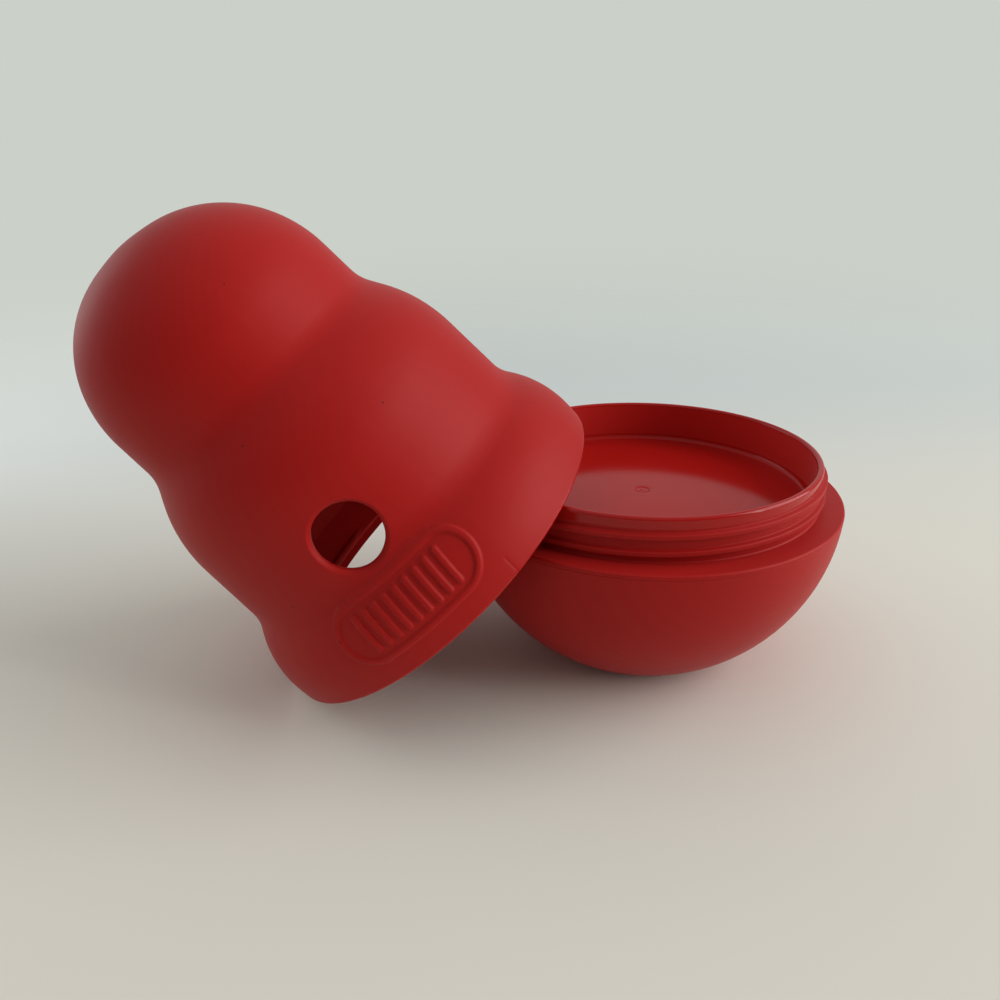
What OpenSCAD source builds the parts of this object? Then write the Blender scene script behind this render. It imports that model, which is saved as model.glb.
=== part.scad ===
// Wobble treat dispenser, opened: the upper shell is unscrewed and leans on the weighted base.
// The origin is the centre of the base's flat foot, +Z is up, the shell lies towards -X and its treat hole faces -Y.

/* [Overall] */
// Outer diameter of the shell's rim and of the base's shoulder
body_d = 120; // [118:1:126]
// Lean of the shell's axis from upright, in degrees
lean = 40; // [38:0.5:43]
// Turn of the shell about its own axis, in degrees from where its treat hole faces -Y
shell_turn = 0.8; // [-6:0.1:6]
// Clearance between the leaning shell's mouth and the collar it rests on
rest_gap = 0.1; // [0.05:0.05:0.5]

/* [Upper shell] */
// Height of the shell along its own axis
shell_h = 120; // [118:0.5:124]
// Wall thickness of the shell
shell_wall = 2.4; // [2:0.1:2.8]
// Height of the corner where the lowest lobe turns in
lobe1_h = 13.2; // [12.8:0.1:13.6]
// Rise from that corner to the crease over the lowest lobe
crease1_rise = 12.3; // [11.8:0.1:13.8]
// How far that crease lies inside the lowest lobe
crease1_in = 8.3; // [7.8:0.1:9]
// Rise from that crease to the middle lobe's upper corner
lobe2_rise = 32.5; // [30.5:0.5:33.5]
// How far that corner lies inside the crease under it
lobe2_in = 2.2; // [1.2:0.1:3.2]
// Rise from that corner to the crease over the middle lobe
crease2_rise = 15.2; // [14:0.2:17]
// How far that crease lies inside the middle lobe
crease2_in = 9.5; // [8.5:0.25:10.5]
// How far the top lobe's corner lies inside the crease under it
lobe3_in = 2.2; // [1.5:0.1:3]
// Rise from the top lobe's corner to the crown; the side under that corner takes the rest of the shell's height
crown_rise = 6.6; // [5.6:0.2:8]
// Diameter of the flat that the crown's dome is drawn from
crown_d = 7.7; // [6:0.1:9]
// Rounding of the lowest lobe, as a share of the shorter side beside it
lobe1_blend = 0.72; // [0.5:0.01:0.74]
// Rounding of the crease over the lowest lobe, as such a share
crease1_blend = 0.25; // [0.15:0.01:0.26]
// Rounding of the middle lobe, as such a share
lobe2_blend = 0.6; // [0.4:0.01:0.7]
// Rounding of the crease over the middle lobe, as such a share
crease2_blend = 0.17; // [0.1:0.01:0.2]
// Rounding of the top lobe, as such a share
lobe3_blend = 0.79; // [0.6:0.01:0.79]
// Rounding of the rim's outer edge
rim_round = 0.8; // [0.4:0.1:1]
// Diameter of the treat hole
hole_d = 18; // [14:0.5:20]
// Height of the treat hole's centre above the crease under it
hole_rise = 9.7; // [9.5:0.1:14]
// Width of the bevel round the treat hole
hole_bevel = 0.9; // [0.5:0.1:1.4]

/* [Grip patch] */
// Width of the ribbed grip patch under the treat hole
patch_w = 44; // [36:1:48]
// Height of the grip patch along the shell's axis
patch_h = 17; // [12:0.5:18]
// Height of the patch's centre above the rim
patch_mid_h = 15; // [13.5:0.5:16]
// How far the patch stands out of the shell
patch_lift = 0.6; // [0.3:0.1:1]
// Width of the patch's border
patch_border = 1.6; // [1.2:0.1:2]
// Number of ribs in the patch
patch_ribs = 9; // [5:2:11]
// Width of a rib
rib_w = 1.6; // [1:0.1:2]

/* [Screw thread] */
// Pitch of the screw thread
thread_pitch = 4.7; // [4.4:0.1:5]
// Height of a thread ridge over its root
thread_h = 1.3; // [0.9:0.1:1.4]
// Width of a thread ridge at its root
thread_w = 2.3; // [1.9:0.1:2.4]
// Width of a thread ridge at its crest
thread_crest_w = 1.1; // [0.7:0.1:1.4]
// Depth of the upper ridge below the collar's lip, at the front
thread_depth = 4.6; // [4.2:0.1:4.8]
// Clearance between the two screw threads when closed
thread_gap = 0.35; // [0.3:0.05:0.6]
// Bearing at which the thread starts, in degrees from +X
thread_from = 205; // [190:1:220]
// Break in the thread where the mould parts, in degrees
thread_break = 16; // [10:1:24]
// Plain length inside the shell's rim, before its thread
mouth_plain = 3.4; // [3:0.1:4.2]
// Chamfer at the start of the land that carries the shell's thread
land_chamfer = 1; // [0.5:0.1:1.4]

/* [Base] */
// Diameter of the flat foot that the bowl's sphere is cut at
foot_d = 55; // [50:1:60]
// How far the shoulder, which the closed shell's rim sits on, lies below the bowl's widest level
shoulder_drop = 0.9; // [0.3:0.05:1.5]
// Wall thickness of the bowl
bowl_wall = 2.8; // [2.2:0.1:3.2]
// Thickness of the bowl's bottom over the foot
foot_t = 3; // [2.5:0.1:4]
// Thickness of the cup's edge above the seam
seam_drop = 1.3; // [1:0.1:1.6]
// Width of the shoulder ledge, from the thread's root on the collar to the body's edge
ledge_w = 7.2; // [6.9:0.1:7.9]
// Height of the collar above the shoulder
collar_h = 12.7; // [12.3:0.1:13.1]
// Wall thickness of the collar
collar_wall = 1.9; // [1.6:0.1:2.3]
// Depth of the cup's floor below the collar's lip
cup_depth = 13.7; // [13.2:0.1:14.7]
// Thickness of the cup's floor and of its ledge
cup_t = 2.2; // [1.8:0.1:2.6]
// Rounding between the cup's wall and its floor
cup_round = 2; // [1:0.25:3]
// Clearance of the cup's spigot in the bowl
spigot_gap = 0.2; // [0.1:0.05:0.4]
// Depth of the spigot below the seam
spigot_h = 5; // [3:0.5:8]
// Diameter of the moulding mark in the middle of the cup's floor
gate_d = 4.4; // [3:0.2:6]
// Depth of the moulding mark
gate_depth = 0.4; // [0.2:0.1:0.6]
// Diameter of the stub left in the middle of the moulding mark
gate_stub_d = 1.5; // [1:0.1:2]

/* [Ballast] */
// Height of the ballast weight
weight_h = 14; // [10:0.5:18]
// Clearance between the weight and the bowl's wall
weight_gap = 0.5; // [0.3:0.1:1]
// Diameter of the peg that centres the weight
peg_d = 10; // [8:0.5:14]
// Clearance between the peg and the weight
peg_gap = 0.4; // [0.2:0.1:0.8]
// Height of the peg above the bowl's bottom
peg_h = 9.5; // [6:0.5:10]
// Thickness of the foam pad over the weight
pad_t = 3; // [2:0.5:5]
// Outer diameter of the foam pad
pad_d = 30; // [26:1:36]
// Outer diameter of the tube that holds the weight down
tube_d = 24; // [20:0.5:25]
// Wall thickness of the hold-down tube
tube_wall = 2; // [1.6:0.1:2.6]

/* [Hidden] */

// Facets round an axis and on small rounds, and degrees along each step of a path's arcs
ROUND_FN = 72;
EDGE_FN = 24;
ARC_STEP = 6;
// Half turns of thread on the collar and in the shell's mouth
COLLAR_ARCS = 3;
MOUTH_ARCS = 2;
// Overlap that lets cuts and joined shapes pass through each other
over = 1;

shell_red = "#a82a2c";
bowl_red = "#a02426";
iron_grey = "#4a4b4d";
foam_grey = "#2f3133";

body_r = body_d / 2;
mouth_r = body_r - shell_wall;

// Base levels, from the floor up
bowl_mid_z = sqrt(pow(body_r, 2) - pow(foot_d / 2, 2));
bowl_inner_r = body_r - bowl_wall;
shoulder_h = bowl_mid_z - shoulder_drop;
seam_z = shoulder_h - seam_drop;
collar_r = body_r - ledge_w;
collar_in_r = collar_r - collar_wall;
collar_z = shoulder_h + collar_h;
cup_z = collar_z - cup_depth;
land_r = collar_r + thread_h + thread_gap;
weight_z = foot_t + weight_h;
pad_z = weight_z + pad_t;

// The taken-off shell stands on its rim's edge, and the inside of its mouth lies on the collar's lip
rim_z = (body_r - rim_round) * sin(lean) + rim_round * (1 - cos(lean));
lip_over_rim = collar_z - rim_z;
touch_r = mouth_r - rest_gap;
reach_x = lip_over_rim / tan(lean)
    + sqrt(pow(collar_r, 2) - pow(touch_r, 2) + pow(lip_over_rim / sin(lean), 2));

// Heights of the shell's creases and upper lobe corners, and their radii
crease1_h = lobe1_h + crease1_rise;
lobe2_h = crease1_h + lobe2_rise;
crease2_h = lobe2_h + crease2_rise;
hole_h = crease1_h + hole_rise;
crease1_r = body_r - crease1_in;
lobe2_r = crease1_r - lobe2_in;
crease2_r = lobe2_r - crease2_in;

// The shell's outer path from the rim to the crown, as [radius, height] corners
SHELL_PATH = [
    [body_r, 0],
    [body_r, lobe1_h],
    [crease1_r, crease1_h],
    [lobe2_r, lobe2_h],
    [crease2_r, crease2_h],
    [crease2_r - lobe3_in, shell_h - crown_rise],
    [crown_d / 2, shell_h],
    [0, shell_h]
];
CROWN_CORNER = 6;
CORNER_BLEND = [0, lobe1_blend, crease1_blend, lobe2_blend, crease2_blend, lobe3_blend];
// 1 where a corner bulges out, and -1 where it is a crease
CORNER_BULGE = [0, 1, -1, 1, -1, 1];

function unit(v) = v / norm(v);

// Outward normal of the path from a to b
function path_normal(a, b) = let (u = unit(b - a)) [u[1], -u[0]];

// Corner i of a path, moved out by grow along both of its edges
function grown_corner(path, i, grow) =
    let (n = path_normal(path[i - 1], path[i]), m = path_normal(path[i], path[i + 1]))
    path[i] + grow * (n + m) / (1 + n * m);

// The shell's path moved out by grow, and in if grow is negative
function grown_path(grow) = [
    for (i = [0 : len(SHELL_PATH) - 1])
        i == 0 ? SHELL_PATH[i] + [grow, 0]
        : i == len(SHELL_PATH) - 1 ? SHELL_PATH[i] + [0, grow]
        : grown_corner(SHELL_PATH, i, grow)
];

// Directions from corner i of a path back and on, and half of the angle between them
function back_way(path, i) = unit(path[i - 1] - path[i]);
function on_way(path, i) = unit(path[i + 1] - path[i]);
function half_angle(path, i) = acos(back_way(path, i) * on_way(path, i)) / 2;
function bearing(v) = atan2(v[1], v[0]);

// Radius of the rounding that takes up its share of the shorter side beside corner i of the shell's path
function corner_round(i) =
    let (side = min(norm(SHELL_PATH[i] - SHELL_PATH[i - 1]), norm(SHELL_PATH[i + 1] - SHELL_PATH[i])))
    CORNER_BLEND[i] * side * tan(half_angle(SHELL_PATH, i));

// Points along the rounding of corner i of a path
function corner_arc(path, i, radius) =
    let (
        half = half_angle(path, i),
        back = back_way(path, i),
        on = on_way(path, i),
        middle = path[i] + unit(back + on) * radius / sin(half),
        first = bearing(path[i] + back * radius / tan(half) - middle),
        turn = (bearing(path[i] + on * radius / tan(half) - middle) - first + 540) % 360 - 180,
        steps = ceil(abs(turn) / ARC_STEP)
    )
    [for (k = [0 : steps]) middle + radius * [cos(first + turn * k / steps), sin(first + turn * k / steps)]];

// The shell's rounded path, moved out by grow, from above the rim to just short of the crown's middle
function lobed_path(grow) =
    let (
        path = grown_path(grow),
        crown = corner_arc(path, CROWN_CORNER, path[CROWN_CORNER][0] * tan(half_angle(path, CROWN_CORNER)))
    )
    concat(
        [for (i = [1 : CROWN_CORNER - 1]) each corner_arc(path, i, corner_round(i) + CORNER_BULGE[i] * grow)],
        [for (k = [0 : len(crown) - 2]) crown[k]]
    );

// Outer radius of the shell at a height above its rim
function radius_at(height) = lookup(height, [for (p = lobed_path(0)) [p[1], p[0]]]);

function reversed(list) = [for (i = [len(list) - 1 : -1 : 0]) list[i]];

// One ridge of the screw thread in section, on a root at radius root_r; side is 1 for outside and -1 for inside.
// Its flanks run on into the wall, so that they cross the root at a clear angle.
module ridge_section(root_r, side) {
    sunk = 0.6;
    sunk_w = thread_w + (thread_w - thread_crest_w) * sunk / thread_h;
    polygon([
        [root_r - side * sunk, -sunk_w / 2],
        [root_r + side * thread_h, -thread_crest_w / 2],
        [root_r + side * thread_h, thread_crest_w / 2],
        [root_r - side * sunk, sunk_w / 2]
    ]);
}

// A right-hand thread that climbs from start_z in arcs, each a part ring tilted by half a pitch,
// with a break between them where the mould parts
module thread(root_r, side, start_z, arcs) {
    tilt = asin(thread_pitch / 4 / root_r);
    for (k = [0 : arcs - 1])
        translate([0, 0, start_z + (k + 0.5) * thread_pitch / 2])
            rotate([0, 0, thread_from + 180 * k])
                rotate([0, tilt, 0])
                    rotate([0, 0, thread_break / 2])
                        rotate_extrude(angle = 180 - thread_break, $fn = ROUND_FN)
                            ridge_section(root_r, side);
}

// Lays the shell from its own upright frame into the pose in which it leans on the base
module leaning() {
    translate([-reach_x, 0, rim_z]) rotate([0, -lean, 0]) rotate([0, 0, shell_turn]) children();
}

// Outline of the grip patch: a flat band with half-round ends
module patch_outline(inset) {
    end_r = patch_h / 2 - inset;
    half_run = (patch_w - patch_h) / 2;
    square([2 * half_run, 2 * end_r], center = true);
    for (side = [-1, 1]) translate([side * half_run, 0]) circle(r = end_r, $fn = ROUND_FN);
}

// Border and upright ribs of the grip patch
module patch_face() {
    rib_step = (patch_w - patch_h) / (patch_ribs - 1);
    rib_len = patch_h - 4 * patch_border;
    difference() {
        patch_outline(0);
        patch_outline(patch_border);
    }
    for (k = [0 : patch_ribs - 1])
        translate([(k - (patch_ribs - 1) / 2) * rib_step, 0]) square([rib_w, rib_len], center = true);
}

// The patch stands out of the shell's front as a thin skin that follows the lobe
module grip_patch() {
    high = patch_mid_h + patch_h / 2 + 2 * over;
    skin = [for (p = lobed_path(patch_lift)) if (p[1] < high) p];
    core = [for (p = lobed_path(-shell_wall / 2)) if (p[1] < high) p];
    intersection() {
        rotate_extrude($fn = ROUND_FN)
            polygon(concat([[skin[0][0], 0]], skin, reversed(core), [[core[0][0], 0]]));
        translate([0, 0, patch_mid_h]) rotate([90, 0, 0]) linear_extrude(body_r + over) patch_face();
    }
}

// Wall of the shell in section, with a rounded outer edge at the rim and a thicker land for the thread in its mouth,
// which runs straight up into the wall so that a plain core can be drawn out
module shell_section() {
    rim = corner_arc([[mouth_r, 0], [body_r, 0], [body_r, lobe1_h]], 1, rim_round);
    wall = lobed_path(-shell_wall);
    land_top = lookup(-land_r, [for (p = wall) [-p[0], p[1]]]);
    inner = [for (p = wall) if (p[1] > land_top + over) p];
    land = [
        [land_r, land_top],
        [land_r, mouth_plain + land_chamfer],
        [land_r + land_chamfer, mouth_plain],
        [mouth_r, mouth_plain],
        [mouth_r, 0]
    ];
    polygon(concat(rim, lobed_path(0), [[0, shell_h], [0, shell_h - shell_wall]], reversed(inner), land));
}

module upper_shell() {
    bevel_r = radius_at(hole_h) - hole_bevel;
    color(shell_red) leaning() {
        difference() {
            union() {
                rotate_extrude($fn = ROUND_FN) shell_section();
                grip_patch();
                thread(land_r, -1, mouth_plain + land_chamfer + thread_w / 2, MOUTH_ARCS);
            }
            translate([0, 0, hole_h]) rotate([90, 0, 0]) {
                cylinder(d = hole_d, h = body_r, $fn = ROUND_FN);
                translate([0, 0, bevel_r])
                    cylinder(d1 = hole_d, d2 = hole_d + 4 * hole_bevel, h = 2 * hole_bevel, $fn = ROUND_FN);
            }
        }
    }
}

module base_bowl() {
    color(bowl_red) {
        rotate_extrude($fn = ROUND_FN) difference() {
            intersection() {
                translate([0, bowl_mid_z]) circle(r = body_r, $fn = ROUND_FN);
                square([body_r, seam_z]);
            }
            intersection() {
                translate([0, bowl_mid_z]) circle(r = bowl_inner_r, $fn = ROUND_FN);
                translate([0, foot_t]) square([body_r, seam_z]);
            }
        }
        translate([0, 0, foot_t / 2]) cylinder(d = peg_d, h = foot_t / 2 + peg_h, $fn = ROUND_FN);
    }
}

// The cup in section: floor, collar with a round lip, ledge, spigot and hold-down tube
module cup_section() {
    spigot_z = seam_z - spigot_h;
    spigot_r = sqrt(pow(bowl_inner_r, 2) - pow(bowl_mid_z - spigot_z, 2)) - spigot_gap;
    under_z = cup_z - cup_t;
    ledge_z = shoulder_h - cup_t;
    gate_r = gate_d / 2;
    tube_r = tube_d / 2;
    lip_r = collar_wall / 2;
    lip = [for (k = [1 : EDGE_FN / 2 - 1])
        [collar_in_r + lip_r - lip_r * cos(360 * k / EDGE_FN), collar_z - lip_r + lip_r * sin(360 * k / EDGE_FN)]];
    inside = corner_arc([[gate_r, cup_z], [collar_in_r, cup_z], [collar_in_r, collar_z]], 1, cup_round);
    edge = corner_arc([[collar_r, shoulder_h], [body_r, shoulder_h], [body_r, seam_z]], 1, seam_drop / 2);
    polygon(concat(
        [[0, under_z], [0, cup_z], [gate_stub_d / 2, cup_z], [gate_stub_d / 2, cup_z - gate_depth]],
        [[gate_r, cup_z - gate_depth], [gate_r, cup_z]],
        inside, [[collar_in_r, collar_z - lip_r]], lip, [[collar_r, collar_z - lip_r], [collar_r, shoulder_h]],
        edge, [[body_r, seam_z], [spigot_r, seam_z], [spigot_r, spigot_z], [spigot_r - cup_t, spigot_z]],
        [[spigot_r - cup_t, ledge_z], [collar_r, ledge_z], [collar_r, under_z]],
        [[tube_r, under_z], [tube_r, pad_z], [tube_r - tube_wall, pad_z], [tube_r - tube_wall, under_z]]
    ));
}

module threaded_cup() {
    start_z = collar_z - thread_depth - (COLLAR_ARCS - 0.5) * thread_pitch / 2;
    color(bowl_red) {
        rotate_extrude($fn = ROUND_FN) cup_section();
        thread(collar_r, 1, start_z, COLLAR_ARCS);
    }
}

module ballast_weight() {
    color(iron_grey) rotate_extrude($fn = ROUND_FN) difference() {
        intersection() {
            translate([0, bowl_mid_z]) circle(r = bowl_inner_r - weight_gap, $fn = ROUND_FN);
            translate([0, foot_t]) square([body_r, weight_h]);
        }
        square([peg_d / 2 + peg_gap, weight_z + over]);
    }
}

module ballast_pad() {
    hole_r = peg_d / 2 + peg_gap;
    color(foam_grey) translate([0, 0, weight_z]) rotate_extrude($fn = ROUND_FN)
        translate([hole_r, 0]) square([pad_d / 2 - hole_r, pad_t]);
}

upper_shell();
base_bowl();
threaded_cup();
ballast_weight();
ballast_pad();
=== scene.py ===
"""Looks of an opened wobble treat dispenser, dressed round its packed construction.

The upper shell is unscrewed and leans on the collar of the weighted base. Each piece is a modelled mesh that
stands where its construction node stands, at the same sizes, and rides on that node's body. Sizes are in
millimetres until a mesh is handed to Blender, which works in metres.
"""

import logging
import math
from collections.abc import Sequence
from dataclasses import dataclass, field
from enum import Enum

import bmesh
import bpy
import numpy as np
from mathutils import Matrix, Vector


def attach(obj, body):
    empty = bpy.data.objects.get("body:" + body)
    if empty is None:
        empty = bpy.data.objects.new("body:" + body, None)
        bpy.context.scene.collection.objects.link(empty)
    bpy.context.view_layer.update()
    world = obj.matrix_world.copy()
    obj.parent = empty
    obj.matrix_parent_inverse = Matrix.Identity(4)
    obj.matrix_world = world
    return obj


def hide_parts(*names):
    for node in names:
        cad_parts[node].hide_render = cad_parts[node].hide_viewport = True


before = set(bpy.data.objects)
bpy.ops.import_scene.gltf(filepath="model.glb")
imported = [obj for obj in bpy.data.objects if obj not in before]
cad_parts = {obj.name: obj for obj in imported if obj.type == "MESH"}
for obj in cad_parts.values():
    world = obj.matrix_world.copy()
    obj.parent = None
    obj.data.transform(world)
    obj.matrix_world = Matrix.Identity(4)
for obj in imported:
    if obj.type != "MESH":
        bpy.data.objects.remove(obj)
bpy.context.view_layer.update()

log = logging.getLogger("dispenser")
MM = 0.001
# A length in mm that counts as none.
TINY = 1e-6
# A corner that is straighter than this gets no rounding.
STRAIGHT_DEG = 179.8
LEAST_ARC_STEPS = 3
# The longest distance between rows of a turned moulding.
ROW_MM = 2.4
# What stays flat between the two roundings of the collar's lip.
LIP_FLAT = 0.01

Colour = tuple[float, float, float, float]
Triple = tuple[float, float, float]
Array = np.ndarray
Inputs = dict[str | int, object]
Material, Tree, Socket = bpy.types.Material, bpy.types.NodeTree, bpy.types.NodeSocket


class Body(Enum):
    """The bodies that pieces ride on."""

    BASE = "base"
    SHELL = "shell"


class Face(Enum):
    """What made a face, and so how it shines: a side of the mould, or hands that rub an edge."""

    CAVITY = 0
    CORE = 1
    RUBBED = 2
    # The cup's inner wall, whose lighter red is painted light.
    DRAWN_PAINTED_LIGHT = 3


def linear(hex_colour: str) -> Colour:
    """Turns an sRGB colour, six hex digits after a hash sign, into opaque linear RGBA."""
    parts = [int(hex_colour[i:i + 2], 16) / 255 for i in (1, 3, 5)]
    red, green, blue = (c / 12.92 if c <= 0.04045 else ((c + 0.055) / 1.055) ** 2.4 for c in parts)
    return red, green, blue, 1.0


def per_metre(size_mm: float) -> float:
    """Texture scale, in features per metre, of a feature of this size."""
    return 1 / (size_mm * MM)


def add_node(tree: Tree, kind: str, inputs: Inputs | None = None, **fields: object) -> bpy.types.Node:
    """Adds a shader node with its settings and links.

    Args:
        tree: the material's or world's node tree.
        kind: Blender's name of the node type, without the ShaderNode at its start.
        inputs: what goes into each socket: a node, whose first open output is linked, an output or a value.
        fields: the node's own settings.

    Returns:
        The new node.
    """
    node = tree.nodes.new(f"ShaderNode{kind}")
    for name, value in fields.items():
        setattr(node, name, value)
    for socket, value in (inputs or {}).items():
        if isinstance(value, bpy.types.Node):
            value = next(output for output in value.outputs if output.enabled)
        if isinstance(value, bpy.types.NodeSocket):
            tree.links.new(value, node.inputs[socket])
        else:
            node.inputs[socket].default_value = value
    return node


def new_material(name: str) -> Material:
    """Makes a material with an empty node tree."""
    material = bpy.data.materials.new(name)
    material.use_nodes = True
    material.node_tree.nodes.clear()
    return material


def put(name: str, data: bpy.types.ID) -> bpy.types.Object:
    """Puts a mesh, a lamp or a camera into the scene as an object."""
    thing = bpy.data.objects.new(name, data)
    bpy.context.scene.collection.objects.link(thing)
    return thing


def smooth(t: Array) -> Array:
    """Eases from 0 to 1 as t goes from 0 to 1."""
    t = np.clip(t, 0, 1)
    return t * t * (3 - 2 * t)


def rounded_path(corners: Sequence[Triple], step: float = 10.0) -> Array:
    """Rounds the inner corners of an open path.

    Args:
        corners: radius, height and rounding of each corner.
        step: degrees between points on a rounding.

    Returns:
        The path's points, each a radius and a height.
    """
    points = [np.array(corners[0][:2])]
    for before, here, after in zip(corners, corners[1:], corners[2:]):
        tip = np.array(here[:2])
        back, on = np.array(before[:2]) - tip, np.array(after[:2]) - tip
        back, on = back / np.linalg.norm(back), on / np.linalg.norm(on)
        half = math.acos(np.clip(back @ on, -1, 1)) / 2
        if here[2] == 0 or half > math.radians(STRAIGHT_DEG / 2):
            points.append(tip)
            continue
        reach = here[2] / math.tan(half)
        middle = tip + (back + on) / np.linalg.norm(back + on) * here[2] / math.sin(half)
        first = math.atan2(*(tip + back * reach - middle)[::-1])
        last = math.atan2(*(tip + on * reach - middle)[::-1])
        turn = (last - first + math.pi) % (2 * math.pi) - math.pi
        count = max(LEAST_ARC_STEPS, math.ceil(abs(math.degrees(turn)) / step))
        for angle in first + turn * np.linspace(0, 1, count + 1):
            points.append(middle + here[2] * np.array([math.cos(angle), math.sin(angle)]))
    points.append(np.array(corners[-1][:2]))
    return np.array(points)


def resampled(path: Array, longest: float) -> Array:
    """Splits the sides of a path that are longer than a length.

    Args:
        path: the path's points.
        longest: the longest side that stays whole.

    Returns:
        The path with its own points and the added ones.
    """
    points = [path[:1]]
    for a, b in zip(path, path[1:]):
        count = max(1, math.ceil(np.linalg.norm(b - a) / longest))
        points.append(a + (b - a) * np.linspace(0, 1, count + 1)[1:, None])
    return np.concatenate(points)


class MeshDraft:
    """Points and faces of a mesh while it is drawn."""

    def __init__(self) -> None:
        """Starts with nothing drawn."""
        self.points: list[Array] = []
        self.faces: list[list[int]] = []
        self.sides: list[Face] = []
        self.count = 0

    def add(self, points: Array) -> Array:
        """Adds points and returns their numbers, in the same layout."""
        flat = points.reshape(-1, 3)
        numbers = np.arange(self.count, self.count + len(flat)).reshape(points.shape[:-1])
        self.points.append(flat)
        self.count += len(flat)
        return numbers

    def join(self, low: Array, high: Array, side: Face = Face.CAVITY, skip: slice = slice(0)) -> None:
        """Draws faces between two closed rows of points, of which one may be a lone tip.

        Args:
            low: numbers of the first row.
            high: numbers of the second row.
            side: what made the faces.
            skip: the columns that are left open.
        """
        tip, row = (low, high) if len(low) < len(high) else (high, low)
        if len(tip) == 1:
            faces = np.stack([np.repeat(tip, len(row)), row, np.roll(row, -1)], 1)
        else:
            faces = np.stack([low, np.roll(low, -1), np.roll(high, -1), high], 1)
        kept = np.delete(faces, skip, 0).tolist()
        self.faces += kept
        self.sides += [side] * len(kept)

    def finished(self, name: str, place: Matrix, materials: Sequence[Material]) -> bpy.types.Object:
        """Makes the drawn mesh an object with smooth faces and outward normals.

        Args:
            name: the piece's name.
            place: where the piece's own frame stands in the row frame, in metres.
            materials: one material for each kind of face, in the order of Face.

        Returns:
            The new object.
        """
        mesh = bpy.data.meshes.new(name)
        mesh.from_pydata((np.concatenate(self.points) * MM).tolist(), [], self.faces)
        mesh.polygons.foreach_set("material_index", [side.value for side in self.sides])
        work = bmesh.new()
        work.from_mesh(mesh)
        bmesh.ops.delete(work, geom=[v for v in work.verts if not v.link_faces], context="VERTS")
        bmesh.ops.recalc_face_normals(work, faces=work.faces)
        if work.calc_volume(signed=True) < 0:
            bmesh.ops.reverse_faces(work, faces=work.faces)
        work.to_mesh(mesh)
        work.free()
        mesh.transform(place)
        mesh.shade_smooth()
        for material in materials:
            mesh.materials.append(material)
        piece = put(name, mesh)
        weighted = piece.modifiers.new("even_shading", "WEIGHTED_NORMAL")
        weighted.keep_sharp = True
        return piece


@dataclass(frozen=True)
class Finish:
    """A material named for what it is and how it was made."""

    name: str

    def surface(self, tree: Tree, where: Socket) -> Inputs:
        """Draws the finish's patterns.

        Args:
            tree: the material's node tree.
            where: each point's place in the piece's own frame.

        Returns:
            What goes into the shader's sockets.
        """
        raise NotImplementedError

    def build(self) -> Material:
        """Makes the material from its patterns."""
        material = new_material(self.name)
        tree = material.node_tree
        where = add_node(tree, "TexCoord").outputs["Object"]
        shader = add_node(tree, "BsdfPrincipled", self.surface(tree, where))
        add_node(tree, "OutputMaterial", {"Surface": shader})
        return material


@dataclass(frozen=True)
class MouldedPolypropylene(Finish):
    """Red polypropylene from an injection mould.

    The mould's cavity is spark-eroded, which leaves a satin face with a soft sheen and no sharp reflections.
    Its core is polished under the cup's floor, which mirrors what stands over it, and plain elsewhere.
    """

    red: str = "#b01814"
    deep_red: str = "#a41511"
    dust: str = "#4a1714"
    ior: float = 1.49
    specular: float = 0.17
    grazing_sheen: float = 0.05
    sheen_spread: float = 0.35
    roughness: tuple[float, float] = (0.46, 0.56)
    grain_mm: float = 0.7
    grain_depth_mm: float = 0.006
    cloud_mm: float = 38.0
    handled_per_cloud: float = 3.0
    speck_mm: float = 9.0
    speck_share: float = 0.034
    speck_core: float = 0.6

    def surface(self, tree: Tree, where: Socket) -> Inputs:
        """Draws clouds of pigment, specks of dust, handled patches and the mould's grain."""
        # Pigment that flowed unevenly into the mould: broad, faint clouds.
        cloud_scale, grain_scale = per_metre(self.cloud_mm), per_metre(self.grain_mm)
        cloud = add_node(tree, "TexNoise", {"Vector": where, "Scale": cloud_scale, "Detail": 2.0})
        red, deep_red, dust = (linear(paint) for paint in (self.red, self.deep_red, self.dust))
        colour = add_node(tree, "Mix", {"Factor": cloud, "A": red, "B": deep_red}, data_type="RGBA")
        # Dust trapped in the surface: a few dark specks far apart.
        specks = add_node(tree, "TexVoronoi", {"Vector": where, "Scale": per_metre(self.speck_mm)})
        edge, core = self.speck_share, self.speck_core * self.speck_share
        speck = add_node(tree, "MapRange", {"Value": specks, "From Min": edge, "From Max": core})
        dusty = add_node(tree, "Mix", {"Factor": speck, "A": colour, "B": dust}, data_type="RGBA")
        # Handling polishes some patches and dulls others.
        handled_scale = per_metre(self.cloud_mm / self.handled_per_cloud)
        handled = add_node(tree, "TexNoise", {"Vector": where, "Scale": handled_scale, "Detail": 4.0})
        low, high = self.roughness
        sheen = add_node(tree, "MapRange", {"Value": handled, "To Min": low, "To Max": high})
        # The mould's grain is about 0.1 mm, and is drawn coarser so that it shows.
        grain = add_node(tree, "TexNoise", {"Vector": where, "Scale": grain_scale, "Detail": 2.0})
        depth = self.grain_depth_mm * MM
        bump = add_node(tree, "Bump", {"Height": grain, "Distance": depth, "Strength": 1.0})
        return {
            "Base Color": dusty, "Roughness": sheen, "IOR": self.ior, "Specular IOR Level": self.specular,
            "Sheen Weight": self.grazing_sheen, "Sheen Roughness": self.sheen_spread, "Normal": bump,
        }


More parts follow.
